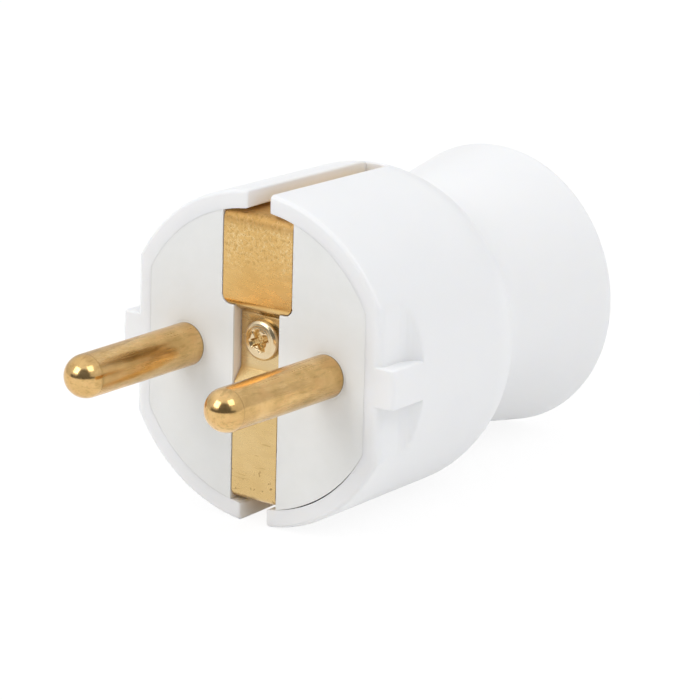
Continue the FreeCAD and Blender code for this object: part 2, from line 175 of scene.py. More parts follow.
class Shader:
    """A material's node tree with short calls to add nodes and links."""

    def __init__(self, name):
        self.material = bpy.data.materials.new(name)
        self.material.use_nodes = True
        self.tree = self.material.node_tree
        self.tree.nodes.clear()
        self.output = self.add("ShaderNodeOutputMaterial")
        self.coordinates = self.add("ShaderNodeTexCoord").outputs["Object"]

    def add(self, kind, **settings):
        node = self.tree.nodes.new(kind)
        for key, value in settings.items():
            setattr(node, key, value)
        return node

    def link(self, source, target):
        self.tree.links.new(source, target)

    def put(self, value, target):
        """Links a socket to another, or sets a plain number or colour on it."""
        if isinstance(value, bpy.types.NodeSocket):
            self.link(value, target)
        elif isinstance(value, tuple):
            target.default_value = (*value, 1.0)
        else:
            target.default_value = value

    def principled(self, **values):
        node = self.add("ShaderNodeBsdfPrincipled")
        for key, value in values.items():
            node.inputs[key.replace("_", " ")].default_value = value
        self.link(node.outputs["BSDF"], self.output.inputs["Surface"])
        return node

    def stretched(self, scale):
        """Object coordinates scaled along each axis, for grain that runs one way."""
        mapping = self.add("ShaderNodeMapping")
        mapping.inputs["Scale"].default_value = scale
        self.link(self.coordinates, mapping.inputs["Vector"])
        return mapping.outputs["Vector"]

    def noise(self, scale=1.0, detail=2.0, roughness=0.5, vector=None):
        node = self.add("ShaderNodeTexNoise")
        node.inputs["Scale"].default_value = scale
        node.inputs["Detail"].default_value = detail
        node.inputs["Roughness"].default_value = roughness
        self.link(vector or self.coordinates, node.inputs["Vector"])
        return node.outputs["Fac"]

    def ramp(self, value, stops):
        """A colour ramp; stops are (place, colour) pairs."""
        node = self.add("ShaderNodeValToRGB")
        elements = node.color_ramp.elements
        while len(elements) < len(stops):
            elements.new(0.5)
        for element, (place, colour) in zip(elements, stops):
            element.position = place
            element.color = (*colour, 1.0)
        self.link(value, node.inputs["Fac"])
        return node.outputs["Color"]

    def spread(self, value, low, high, start=0.0, stop=1.0):
        """Maps a value between start and stop on to low and high."""
        node = self.add("ShaderNodeMapRange")
        node.inputs["From Min"].default_value = start
        node.inputs["From Max"].default_value = stop
        node.inputs["To Min"].default_value = low
        node.inputs["To Max"].default_value = high
        self.link(value, node.inputs["Value"])
        return node.outputs["Result"]

    def rise(self, value, start, stop, share=1.0):
        """Goes from 0 up to a share while a value goes from start to stop."""
        return self.spread(value, 0.0, share, start, stop)

    def fade(self, value, start, stop, share=1.0):
        """Goes from a share down to 0 while a value goes from start to stop."""
        return self.spread(value, share, 0.0, start, stop)

    def mix(self, share, first, second):
        """Blends two colours, each a socket or a plain colour, by a share."""
        node = self.add("ShaderNodeMix", data_type="RGBA")
        self.link(share, node.inputs["Factor"])
        for name, value in (("A", first), ("B", second)):
            socket = [item for item in node.inputs if item.name == name and item.type == "RGBA"][0]
            self.put(value, socket)
        return [item for item in node.outputs if item.type == "RGBA"][0]

    def blend(self, share, first, second):
        """Blends two numbers, each a socket or a plain number, by a share."""
        node = self.add("ShaderNodeMix", data_type="FLOAT")
        self.link(share, node.inputs["Factor"])
        self.put(first, node.inputs["A"])
        self.put(second, node.inputs["B"])
        return node.outputs["Result"]

    def math(self, operation, *values):
        """A sum, product or other operation on one or two numbers or sockets."""
        node = self.add("ShaderNodeMath", operation=operation)
        for value, socket in zip(values, node.inputs):
            self.put(value, socket)
        return node.outputs[0]

    def product(self, first, second):
        return self.math("MULTIPLY", first, second)

    def axis(self, name):
        """One of the object coordinates X, Y or Z."""
        node = self.add("ShaderNodeSeparateXYZ")
        self.link(self.coordinates, node.inputs["Vector"])
        return node.outputs[name]

    def distance(self, value, place):
        """How far a value lies from a place, to either side."""
        return self.math("ABSOLUTE", self.math("SUBTRACT", value, place))

    def radius_about(self, height):
        """Distance from the axis along Y that passes through X = 0 at a height Z."""
        flat = self.add("ShaderNodeCombineXYZ")
        self.link(self.axis("X"), flat.inputs["X"])
        self.link(self.math("SUBTRACT", self.axis("Z"), height), flat.inputs["Z"])
        size = self.add("ShaderNodeVectorMath", operation="LENGTH")
        self.link(flat.outputs["Vector"], size.inputs[0])
        return size.outputs["Value"]

    def strokes(self, scale, width, vector=None):
        """Thin winding marks, where a noise lies close to its middle value."""
        field = self.noise(scale, vector=vector)
        return self.fade(self.distance(field, 0.5), 0.0, width)

    def bump(self, height, distance, strength, normal=None):
        node = self.add("ShaderNodeBump")
        node.inputs["Strength"].default_value = strength
        node.inputs["Distance"].default_value = distance
        self.link(height, node.inputs["Height"])
        if normal is not None:
            self.link(normal, node.inputs["Normal"])
        return node.outputs["Normal"]


# Finishes: colours by name, and zones given as the two places between which they come in or go out

# How far red, green and blue light spread below a moulding's surface
MOULDING_SCATTER = (1.0, 0.9, 0.75)

HOUSING_WHITE = ((0.3, (0.918, 0.922, 0.928)), (0.7, (0.930, 0.933, 0.937)))
# Painted light on the earth slots' walls: painted shade and strap reflection in the lower slot, painted
# bounce light in the upper
SLOT_PAINTED_SHADE_BROWN = (0.62, 0.42, 0.23)
SLOT_PAINTED_BOUNCE_CREAM = (0.95, 0.86, 0.70)
SLOT_WALLS = (1.82 * MM, 1.9 * MM)
SLOT_MOUTH = (0.4 * MM, 3.6 * MM)
SLOT_REAR = (SLOT_LENGTH - 0.3 * MM, SLOT_LENGTH - 0.1 * MM)
SLOT_DEPTH = (16.0 * MM, 18.4 * MM)
UPPER_HALF = (-1.0 * MM, 1.0 * MM)


def glossy_moulding():
    """White glossy moulding of the housing, with a faint flow tint and a very slight waviness.

    The walls of the lower earth slot are painted brown, as painted shade and a painted reflection of the
    strap, and those of the upper one get a painted cream bounce light from the brass.
    """
    shader = Shader("housing_glossy_white")
    body = shader.principled(Roughness=0.32, IOR=1.5, Subsurface_Weight=0.25, Subsurface_Scale=0.0015)
    body.inputs["Subsurface Radius"].default_value = MOULDING_SCATTER
    colour = shader.ramp(shader.noise(scale=140.0, detail=3.0), HOUSING_WHITE)
    height = shader.axis("Z")
    along = shader.axis("Y")
    in_slot = shader.fade(shader.distance(shader.axis("X"), 0.0), *SLOT_WALLS)
    inward = shader.product(shader.rise(along, *SLOT_MOUTH), shader.fade(along, *SLOT_REAR))
    near_strap = shader.fade(shader.distance(height, 0.0), *SLOT_DEPTH)
    # Painted shade and painted bounce light on the slot walls beside the strap
    painted_slot_light = shader.product(shader.product(in_slot, inward), near_strap)
    painted_slot_tone = shader.mix(shader.rise(height, *UPPER_HALF), SLOT_PAINTED_SHADE_BROWN, SLOT_PAINTED_BOUNCE_CREAM)
    colour = shader.mix(painted_slot_light, colour, painted_slot_tone)
    shader.link(colour, body.inputs["Base Color"])
    waves = shader.bump(shader.noise(scale=420.0), distance=0.02 * MM, strength=0.25)
    shader.link(waves, body.inputs["Normal"])
    return shader.material


CARRIER_WHITE = ((0.32, (0.868, 0.876, 0.857)), (0.62, (0.895, 0.902, 0.888)))
# Painted warm bounce light from the brass on the channel's walls
CHANNEL_PAINTED_BOUNCE = (0.96, 0.85, 0.74)
CHANNEL_WALLS = (5.0 * MM, 5.1 * MM)
BEHIND_FACE = (0.15 * MM, 0.3 * MM)


def satin_moulding():
    """Slightly duller and warmer white of the pin carrier, with fine mould texture and handling marks.

    The walls of the strap's channel get a painted warm bounce light from the brass.
    """
    shader = Shader("carrier_satin_white")
    body = shader.principled(IOR=1.48, Subsurface_Weight=0.1, Subsurface_Scale=0.001)
    body.inputs["Subsurface Radius"].default_value = MOULDING_SCATTER
    cloud = shader.noise(scale=230.0, detail=4.0, roughness=0.6)
    colour = shader.ramp(cloud, CARRIER_WHITE)
    in_channel = shader.fade(shader.distance(shader.axis("X"), 0.0), *CHANNEL_WALLS)
    behind_face = shader.rise(shader.axis("Y"), *BEHIND_FACE)
    # Painted bounce light on the channel's walls behind the face
    colour = shader.mix(shader.product(in_channel, behind_face), colour, CHANNEL_PAINTED_BOUNCE)
    shader.link(colour, body.inputs["Base Color"])
    gloss = shader.spread(cloud, low=0.36, high=0.5, start=0.35, stop=0.65)
    shader.link(gloss, body.inputs["Roughness"])
    grain = shader.bump(shader.noise(scale=2600.0), distance=0.01 * MM, strength=0.3)
    shader.link(grain, body.inputs["Normal"])
    return shader.material


PIN_BRASS = ((0.3, (0.64, 0.41, 0.16)), (0.5, (0.765, 0.50, 0.21)), (0.72, (0.83, 0.575, 0.275)))
PIN_RUB = (0.73, 0.43, 0.175)
PIN_FLECK = (0.44, 0.28, 0.09)
PIN_NECK = PIN_RADIUS - PIN_LENGTH
NECK_COLOUR = (0.54, 0.34, 0.13)
NECK_LINE = (0.01 * MM, 0.1 * MM)
TIP_POLISH = (PIN_NECK - 0.1 * MM, PIN_NECK)
TIP_ROUGHNESS = 0.15
# Painted dark reflection of the strap along the right pin's top
PAINTED_REFLECTION_COLOUR = (0.38, 0.235, 0.09)
PAINTED_REFLECTION_SHARE = 0.62
PAINTED_REFLECTION_MIDDLE = (9.25 * MM, -12.0 * MM)
PAINTED_REFLECTION_WIDTH = (0.6 * MM, 1.2 * MM)
PAINTED_REFLECTION_LENGTH = (3.8 * MM, 5.8 * MM)
PAINTED_REFLECTION_HEIGHT = (1.95 * MM, 2.25 * MM)
# Painted shade: a thin dark line where the pin enters the face
FOOT_PAINTED_SHADE = (0.27, 0.2, 0.13)
FOOT_SHADE_SHARE = 0.75
FOOT_PLACE = -0.05 * MM
FOOT_LINE = (0.05 * MM, 0.15 * MM)
LAND_WHITE = (0.88, 0.89, 0.87)
LAND_EDGE = (0.005 * MM, 0.02 * MM)
LAND_ROUGHNESS = 0.7


def turned_brass():
    """Pin brass: drawn lines along the shank, mottled by handling, and a fine line at the polished tip.

    The right pin has a painted dark reflection of the strap along its top, in front of the strap. The land
    at the foot is dulled pale like the moulding that it lies flush with, and a thin line of painted shade
    rings the foot.
    """
    shader = Shader("pin_turned_brass")
    body = shader.principled()
    along = shader.axis("Y")
    lines = shader.noise(detail=3.0, roughness=0.6, vector=shader.stretched((1500.0, 70.0, 1500.0)))
    rub = shader.noise(detail=3.0, roughness=0.6, vector=shader.stretched((760.0, 330.0, 760.0)))
    fleck = shader.noise(detail=4.0, roughness=0.65, vector=shader.stretched((2100.0, 420.0, 2100.0)))
    colour = shader.ramp(shader.noise(scale=380.0, detail=3.0, roughness=0.55), PIN_BRASS)
    colour = shader.mix(shader.rise(rub, start=0.5, stop=0.64, share=0.5), colour, PIN_RUB)
    colour = shader.mix(shader.fade(fleck, start=0.36, stop=0.5, share=0.42), colour, PIN_FLECK)
    off_neck = shader.rise(shader.distance(along, PIN_NECK), *NECK_LINE)
    colour = shader.mix(off_neck, NECK_COLOUR, colour)
    # Painted dark reflection of the strap on the right pin's top
    reflection_x, reflection_y = PAINTED_REFLECTION_MIDDLE
    on_top = shader.rise(shader.axis("Z"), *PAINTED_REFLECTION_HEIGHT)
    by_strap = shader.fade(shader.distance(along, reflection_y), *PAINTED_REFLECTION_LENGTH, PAINTED_REFLECTION_SHARE)
    inner_side = shader.fade(shader.distance(shader.axis("X"), reflection_x), *PAINTED_REFLECTION_WIDTH)
    painted_reflection = shader.product(shader.product(on_top, by_strap), inner_side)
    colour = shader.mix(painted_reflection, colour, PAINTED_REFLECTION_COLOUR)
    # Painted shade ringing the pin's foot
    foot_shade = shader.fade(shader.distance(along, FOOT_PLACE), *FOOT_LINE, FOOT_SHADE_SHARE)
    colour = shader.mix(foot_shade, colour, FOOT_PAINTED_SHADE)
    on_land = shader.fade(shader.distance(along, 0.0), *LAND_EDGE)
    colour = shader.mix(on_land, colour, LAND_WHITE)
    shader.link(colour, body.inputs["Base Color"])
    shader.link(shader.fade(on_land, 0.0, 1.0), body.inputs["Metallic"])
    scuffed = shader.spread(lines, low=0.19, high=0.31, start=0.35, stop=0.7)
    polished = shader.blend(shader.rise(along, *TIP_POLISH), TIP_ROUGHNESS, scuffed)
    shader.link(shader.blend(on_land, polished, LAND_ROUGHNESS), body.inputs["Roughness"])
    dents = shader.bump(fleck, distance=0.016 * MM, strength=0.4)
    drawn = shader.bump(lines, distance=0.004 * MM, strength=0.3, normal=dents)
    shader.link(drawn, body.inputs["Normal"])
    return shader.material


STRAP_PALE = ((0.3, (0.68, 0.47, 0.20)), (0.55, (0.73, 0.52, 0.24)), (0.75, (0.76, 0.56, 0.275)))
STRAP_WARM = ((0.3, (0.69, 0.42, 0.14)), (0.55, (0.75, 0.48, 0.18)), (0.75, (0.79, 0.53, 0.225)))
PAD_EDGE = (PAD_BOTTOM - 0.4 * MM, PAD_BOTTOM + 0.4 * MM)
PAD_RUBBED = (PAD_BOTTOM + 2.6 * MM, PAD_BOTTOM + 6.0 * MM)
DARK_MARK = (0.45, 0.27, 0.08)
LIGHT_MARK = (0.90, 0.70, 0.38)
DIP_COLOUR = (0.74, 0.575, 0.33)
DIP_SHARE = 0.65
DIP_REACH = (2.9 * MM, 3.6 * MM)
# Painted shade on the upper fold, under the housing's ring
FOLD_PAINTED_SHADE = (0.50, 0.28, 0.09)
FOLD_SHADE_SHARE = 0.3
FOLD_RISE = (13.7 * MM, 15.9 * MM)
FOLD_DULL = (14.4 * MM, 15.0 * MM)
FOLD_ROUGHNESS = 0.6
SCORE_COLOUR = (0.45, 0.29, 0.10)
SCORE_ZONE = (-9.0 * MM, -6.0 * MM)
PIT_COLOUR = (0.28, 0.17, 0.06)
PIT_ZONE = (-13.0 * MM, -11.5 * MM)


def rolled_brass():
    """Strap brass: a warm pad, scratched in its upper half, and a paler dip and lower strip.

    The lower strip has a few pits and scores, and the upper fold is duller, and darker by painted shade
    under the housing's ring.
    """
    shader = Shader("strap_rolled_brass")
    body = shader.principled(Metallic=1.0)
    height = shader.axis("Z")
    cloud = shader.noise(scale=170.0, detail=3.0, roughness=0.55)
    pale = shader.ramp(cloud, STRAP_PALE)
    warm = shader.ramp(cloud, STRAP_WARM)
    colour = shader.mix(shader.rise(height, *PAD_EDGE), pale, warm)
    in_dip = shader.fade(shader.distance(height, SCREW_HEIGHT), *DIP_REACH, DIP_SHARE)
    colour = shader.mix(in_dip, colour, DIP_COLOUR)
    rubbed = shader.rise(height, *PAD_RUBBED)
    dark_marks = shader.noise(scale=2600.0, detail=3.0, roughness=0.6)
    dark_share = shader.product(shader.fade(dark_marks, start=0.36, stop=0.5, share=0.55), rubbed)
    colour = shader.mix(dark_share, colour, DARK_MARK)
    light_marks = shader.strokes(scale=1500.0, width=0.03, vector=shader.stretched((1.0, 1.0, 0.7)))
    light_patch = shader.spread(cloud, low=0.25, high=0.75, start=0.4, stop=0.6)
    light_share = shader.product(shader.product(light_marks, light_patch), rubbed)
    colour = shader.mix(light_share, colour, LIGHT_MARK)
    # Painted shade, darker towards the top of the fold
    colour = shader.mix(shader.rise(height, *FOLD_RISE, FOLD_SHADE_SHARE), colour, FOLD_PAINTED_SHADE)
    scores = shader.noise(vector=shader.stretched((260.0, 260.0, 2300.0)))
    score_share = shader.rise(scores, start=0.64, stop=0.7, share=0.5)
    colour = shader.mix(shader.product(score_share, shader.fade(height, *SCORE_ZONE)), colour, SCORE_COLOUR)
    pits = shader.noise(scale=1900.0, detail=1.0)
    pit_share = shader.rise(pits, start=0.66, stop=0.72, share=0.7)
    colour = shader.mix(shader.product(pit_share, shader.fade(height, *PIT_ZONE)), colour, PIT_COLOUR)
    shader.link(colour, body.inputs["Base Color"])
    grain = shader.noise(vector=shader.stretched((500.0, 500.0, 1500.0)))
    gloss = shader.spread(grain, low=0.22, high=0.32, start=0.3, stop=0.7)
    dulled = shader.blend(shader.rise(height, *FOLD_DULL), gloss, FOLD_ROUGHNESS)
    shader.link(dulled, body.inputs["Roughness"])
    waves = shader.bump(shader.noise(scale=480.0), distance=0.02 * MM, strength=0.25)
    scratches = shader.product(dark_marks, rubbed)
    scratched = shader.bump(scratches, distance=0.012 * MM, strength=0.35, normal=waves)
    shader.link(scratched, body.inputs["Normal"])
    return shader.material


SCREW_PLATING = ((0.3, (0.74, 0.57, 0.34)), (0.7, (0.83, 0.68, 0.45)))
RECESS_GOLD = (0.66, 0.46, 0.205)
RECESS_SINK = (SCREW_FACE + 0.14 * MM, SCREW_FACE + 0.34 * MM)
RECESS_REACH = (1.3 * MM, 1.42 * MM)
# Painted shade: the contact shadow on the head's side against the strap
HEAD_SIDE_PAINTED_SHADE = (0.33, 0.235, 0.11)
HEAD_SIDE_SHADE_SHARE = 0.85
HEAD_SIDE_REACH = (2.2 * MM, 2.28 * MM)
HEAD_SIDE_DEPTH = (SCREW_FACE + 0.45 * MM, SCREW_FACE + 0.7 * MM)
TURNING_PITCH = 0.26 * MM


def plated_brass():
    """Assembly screw: pale plating with turning lines, warmer gold in the cross and painted shade on its
    side.
    """
    shader = Shader("screw_plated_brass")
    body = shader.principled(Metallic=1.0)
    mottle = shader.noise(scale=900.0)
    depth = shader.axis("Y")
    radius = shader.radius_about(SCREW_HEIGHT)
    colour = shader.ramp(mottle, SCREW_PLATING)
    in_cross = shader.product(shader.rise(depth, *RECESS_SINK), shader.fade(radius, *RECESS_REACH))
    colour = shader.mix(in_cross, colour, RECESS_GOLD)
    # Painted shade on the head's side
    below_edge = shader.rise(depth, *HEAD_SIDE_DEPTH, HEAD_SIDE_SHADE_SHARE)
    side_shade = shader.product(shader.rise(radius, *HEAD_SIDE_REACH), below_edge)
    colour = shader.mix(side_shade, colour, HEAD_SIDE_PAINTED_SHADE)
    shader.link(colour, body.inputs["Base Color"])
    gloss = shader.spread(mottle, low=0.16, high=0.28, start=0.3, stop=0.7)
    shader.link(gloss, body.inputs["Roughness"])
    turns = shader.math("SINE", shader.product(radius, 2 * math.pi / TURNING_PITCH))
    shader.link(shader.bump(turns, distance=0.008 * MM, strength=0.5), body.inputs["Normal"])
    return shader.material


INNER_BRASS = ((0.3, (0.66, 0.45, 0.19)), (0.7, (0.80, 0.58, 0.28)))


def inner_brass():
    """Nut, washer and insert inside: plain machined brass, slightly tarnished in patches."""
    shader = Shader("inner_machined_brass")
    body = shader.principled(Metallic=1.0)
    colour = shader.ramp(shader.noise(scale=420.0, detail=3.0, roughness=0.55), INNER_BRASS)
    shader.link(colour, body.inputs["Base Color"])
    lines = shader.noise(detail=3.0, roughness=0.6, vector=shader.stretched((300.0, 2400.0, 300.0)))
    gloss = shader.spread(lines, low=0.22, high=0.36, start=0.35, stop=0.7)
    shader.link(gloss, body.inputs["Roughness"])
    shader.link(shader.bump(lines, distance=0.004 * MM, strength=0.3), body.inputs["Normal"])
    return shader.material


ZINC_GREY = ((0.3, (0.52, 0.53, 0.55)), (0.7, (0.68, 0.69, 0.71)))


def zinc_steel():
    """Inner screws: dull zinc plating with a fine crystalline mottle."""
    shader = Shader("inner_zinc_steel")
    body = shader.principled(Metallic=1.0)
    mottle = shader.noise(scale=1500.0, detail=3.0)
    shader.link(shader.ramp(mottle, ZINC_GREY), body.inputs["Base Color"])
    gloss = shader.spread(mottle, low=0.28, high=0.45, start=0.3, stop=0.7)
    shader.link(gloss, body.inputs["Roughness"])
    return shader.material


# Shapes taken from the solids

def merged_copy(node):
    """A new mesh from a node's triangles, doubled corners merged and shaded smooth between sharp edges."""
    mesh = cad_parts[node].data.copy()
    mesh.name = node + "_finish"
    work = bmesh.new()
    work.from_mesh(mesh)
    bmesh.ops.remove_doubles(work, verts=work.verts, dist=MERGE_DISTANCE)
    bmesh.ops.dissolve_degenerate(work, edges=work.edges, dist=MERGE_DISTANCE)
    work.to_mesh(mesh)
    work.free()
    if "custom_normal" in mesh.attributes:
        mesh.attributes.remove(mesh.attributes["custom_normal"])
    mesh.shade_smooth()
    mesh.set_sharp_from_angle(angle=SHARP_EDGE)
    return mesh


def planar_copy(node):
    """A merged copy with the triangles of each plane joined, so that only the real edges are left."""
    mesh = merged_copy(node)
    work = bmesh.new()
    work.from_mesh(mesh)
    bmesh.ops.dissolve_limit(work, angle_limit=SAME_PLANE, verts=work.verts, edges=work.edges)
    work.to_mesh(mesh)
    work.free()
    return mesh


def corners_of(mesh):
    """A mesh's corners as three arrays, X, Y and Z."""
    corners = np.empty(len(mesh.vertices) * 3)
    mesh.vertices.foreach_get("co", corners)
    return corners.reshape(-1, 3).T


def move_corners(mesh, x, y, z):
    """Puts a mesh's corners at new places."""
    mesh.vertices.foreach_set("co", np.stack([x, y, z], axis=-1).ravel())


def edges_between(mesh, chosen):
    """Which edges have both ends among the chosen corners."""
    ends = np.empty(len(mesh.edges) * 2, dtype=np.int32)
    mesh.edges.foreach_get("vertices", ends)
    return chosen[ends.reshape(-1, 2)].all(axis=1)


def mark_channel(mesh):
    """Marks the front face's edges along the strap's channel for a small round, by their bevel weight."""
    x, y, z = np.abs(corners_of(mesh))
    beside_channel = (x < CHANNEL_HALF) & (z < CHANNEL_END)
    chosen = edges_between(mesh, beside_channel & (y < PLACE_MATCH))
    weights = mesh.attributes.new("bevel_weight_edge", "FLOAT", "EDGE")
    weights.data.foreach_set("value", chosen.astype(np.float32))


def set_seam(mesh):
    """Sets the width of the seam round the carrier, tight all round and open at the lower right.

    A place on the rim at angle a moves outwards until the seam there is as wide as the tight seam plus
    sin(t) times the opening, where t runs from 0 to pi between the angles at which the opening starts
    and stops. The arcs move along the radius and the flats along X.
    """
    x, y, z = corners_of(mesh)
    in_plate = y < PLATE_THICKNESS + PLACE_MATCH
    radius = np.hypot(x, z)
    rim = radius[in_plate].max()
    half = np.abs(x[in_plate]).max()
    on_arc = in_plate & (radius > rim - PLACE_MATCH)
    on_flat = in_plate & (np.abs(x) > half - PLACE_MATCH)
    share = np.clip((np.arctan2(z, x) - SEAM_START) / (SEAM_STOP - SEAM_START), 0, 1)
    step = SEAM_GAP - SEAM_TIGHT - SEAM_OPENING * np.sin(np.pi * share)
    flat_x = np.where(on_flat, np.sign(x) * (half + step), x)
    corner_z = np.sign(z) * np.sqrt((rim + step) ** 2 - (half + step) ** 2)
    grown = np.where(on_arc, 1 + step / rim, 1.0)
    new_x = np.where(on_arc & ~on_flat, x * grown, flat_x)
    new_z = np.where(on_arc & on_flat, corner_z, z * grown)
    move_corners(mesh, new_x, y, new_z)


def close_foot(mesh, middle):
    """Widens a pin's land about the pin's axis, X = middle, so that it meets the hole it sits in."""
    x, y, z = corners_of(mesh)
    at_wall = np.abs(np.hypot(x - middle, z) - PIN_SEAT_RADIUS) < PLACE_MATCH
    in_plate = (y > -PLACE_MATCH) & (y < PLATE_THICKNESS - PLACE_MATCH)
    grown = np.where(at_wall & in_plate, 1 + LAND_GROWTH / PIN_SEAT_RADIUS, 1.0)
    move_corners(mesh, middle + (x - middle) * grown, y, z * grown)


def soften_runout(mesh):
    """Lets the shading run on over the edges where the side flats run out into the sleeve.

    Those edges lie behind the flats and have both ends on the sleeve's outside, whose radius shrinks
    evenly by the draft over the sleeve's length.
    """
    x, y, z = corners_of(mesh)
    outside = SLEEVE_RADIUS - SLEEVE_DRAFT * y / SLEEVE_LENGTH
    on_sleeve = np.abs(np.hypot(x, z) - outside) < SLEEVE_MATCH
    behind_flat = (y > FLAT_LENGTH - RUNOUT_MATCH) & (y < FLAT_LENGTH + FLAT_RUNOUT + RUNOUT_MATCH)
    chosen = edges_between(mesh, on_sleeve & behind_flat)
    sharp = np.empty(len(mesh.edges), dtype=bool)
    marks = mesh.attributes["sharp_edge"].data
    marks.foreach_get("value", sharp)
    marks.foreach_set("value", sharp & ~chosen)


# Assembly screw

def recess_depth(across, along):
    """Depth of the cross recess at places on the head.

    Two crossed arms over a shallow cone; the deepest of the three counts. An arm gets evenly shallower
    and narrower with the distance p from the middle, and its sides ease in and out.
    """

    def arm(p, q):
        p = np.abs(p)
        half = ARM_HALF - (ARM_HALF - ARM_TIP_HALF) * p / ARM_LENGTH
        side = np.clip((half - np.abs(q)) / ARM_SIDE_EASE + 0.5, 0, 1)
        end = np.clip((ARM_END - p) / ARM_END_EASE, 0, 1)
        eased = side * side * (3 - 2 * side)
        return eased * end * (ARM_DEPTH - ARM_SLOPE * p)

    cone = CONE_DEPTH * np.clip(1 - np.hypot(across, along) / CONE_RADIUS, 0, 1)
    return np.maximum(np.maximum(arm(across, along), arm(along, across)), cone)


def screw_mesh():
    """The assembly screw, a profile turned about its axis with the cross pressed into its crown.

    Station s has radius r(s) and depth y(s): a crown that rises to the middle, a round edge, the head's
    side, the shank and its end. At angle a the place is (r cos a, y + recess, r sin a + height).
    """
    crown = np.linspace(0, CROWN_RADIUS, CROWN_STATIONS)
    turn = np.linspace(0, np.pi / 2, EDGE_STATIONS)[1:]
    radius = np.concatenate([
        crown,
        CROWN_RADIUS + (HEAD_RADIUS - CROWN_RADIUS) * np.sin(turn),
        [HEAD_RADIUS, SHANK_RADIUS, SHANK_RADIUS, 0.0],
    ])
    depth = np.concatenate([
        SCREW_FACE + CROWN_RISE * (crown / CROWN_RADIUS) ** 2,
        SCREW_FACE + CROWN_RISE + EDGE_DEPTH * (1 - np.cos(turn)),
        [HEAD_BACK, HEAD_BACK, SHANK_END, SHANK_END],
    ])
    angle = np.linspace(0, 2 * np.pi, SCREW_COLUMNS, endpoint=False)
    x = radius[:, None] * np.cos(angle)
    z = radius[:, None] * np.sin(angle)
    across = x * math.cos(CROSS_TILT) + z * math.sin(CROSS_TILT)
    along = z * math.cos(CROSS_TILT) - x * math.sin(CROSS_TILT)
    on_crown = np.arange(len(radius))[:, None] < CROWN_STATIONS
    y = depth[:, None] + np.where(on_crown, recess_depth(across, along), 0.0)
    return grid_mesh("assembly_screw_finish", x, y, z + SCREW_HEIGHT)


def grid_mesh(name, x, y, z):
    """A mesh from a grid of places whose rows close on themselves; rows of no size become poles."""
    rows, columns = x.shape
    places = np.stack([x, y, z], axis=-1).reshape(-1, 3)
    row, column = np.meshgrid(np.arange(rows - 1), np.arange(columns), indexing="ij")
    following = (column + 1) % columns
    quads = np.stack([
        row * columns + column,
        row * columns + following,
        (row + 1) * columns + following,
        (row + 1) * columns + column,
    ], axis=-1).reshape(-1, 4)
    mesh = bpy.data.meshes.new(name)
    mesh.from_pydata(places.tolist(), [], quads.tolist())
    work = bmesh.new()
    work.from_mesh(mesh)
    bmesh.ops.remove_doubles(work, verts=work.verts, dist=POLE_DISTANCE)
    bmesh.ops.recalc_face_normals(work, faces=work.faces)
    work.to_mesh(mesh)
    work.free()
    mesh.shade_smooth()
    mesh.set_sharp_from_angle(angle=SCREW_SHARP_EDGE)
    return mesh


# Pieces

def place(mesh, node, slot, material):
    """Puts a finished mesh in the node's stead: same place, same body, its own finish."""
    piece = bpy.data.objects.new(mesh.name, mesh)
    bpy.context.scene.collection.objects.link(piece)
    mesh.materials.clear()
    mesh.materials.append(material)
    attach(piece, "root")
    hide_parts(node)
    return piece


def flat_faces(piece):
    """Normals weighted by area, so that large faces keep their own shading beside small rounds."""
    flat = piece.modifiers.new("flat_faces", "WEIGHTED_NORMAL")
    flat.keep_sharp = True


def rounded_edges(piece, width, segments, limit):
    """Small rounds on a piece's edges, with normals that keep the flat faces flat."""
    bevel = piece.modifiers.new("edge_round", "BEVEL")
    bevel.width = width
    bevel.segments = segments
    bevel.limit_method = limit
    bevel.angle_limit = ROUNDED_EDGE
    bevel.use_clamp_overlap = True
    flat_faces(piece)


def plain_piece(node, slot, finish):
    """An inner piece in its solid's own shape."""
    place(merged_copy(node), node, slot, finish)


def housing_piece(node, slot, finish):
    """The sleeve, shoulder and bell, with soft shading where the flats run out."""
    shell = merged_copy(node)
    soften_runout(shell)
    flat_faces(place(shell, node, slot, finish))


def carrier_piece(node, slot, finish):
    """The disc in the sleeve's mouth, with its seam and a small round along the channel."""
    plate = planar_copy(node)
    mark_channel(plate)
    set_seam(plate)
    carrier = place(plate, node, slot, finish)
    rounded_edges(carrier, CHANNEL_ROUND, CHANNEL_ROUND_SEGMENTS, "WEIGHT")


def pin_piece(node, slot, finish):
    """A contact pin that sits tight in the face."""
    pin = merged_copy(node)
    close_foot(pin, PIN_OFFSET if node == "right_pin" else -PIN_OFFSET)
    place(pin, node, slot, finish)


def strap_piece(node, slot, finish):
    """The folded earth strap with its edges rounded."""
    strap = place(planar_copy(node), node, slot, finish)
    rounded_edges(strap, STRAP_ROUND, STRAP_ROUND_SEGMENTS, "ANGLE")


def screw_piece(node, slot, finish):
    """The assembly screw with its cross."""
    place(screw_mesh(), node, slot, finish)


# Stage

def camera_axes():
    """The camera's right, up and back directions, with its roll."""
    back = Vector((
        math.sin(CAMERA_AZIMUTH) * math.cos(CAMERA_ELEVATION),
        -math.cos(CAMERA_AZIMUTH) * math.cos(CAMERA_ELEVATION),
        math.sin(CAMERA_ELEVATION),
    ))
    level = Vector((math.cos(CAMERA_AZIMUTH), math.sin(CAMERA_AZIMUTH), 0.0))
    upright = back.cross(level)
    right = level * math.cos(CAMERA_ROLL) + upright * math.sin(CAMERA_ROLL)
    up = upright * math.cos(CAMERA_ROLL) - level * math.sin(CAMERA_ROLL)
    return right, up, back


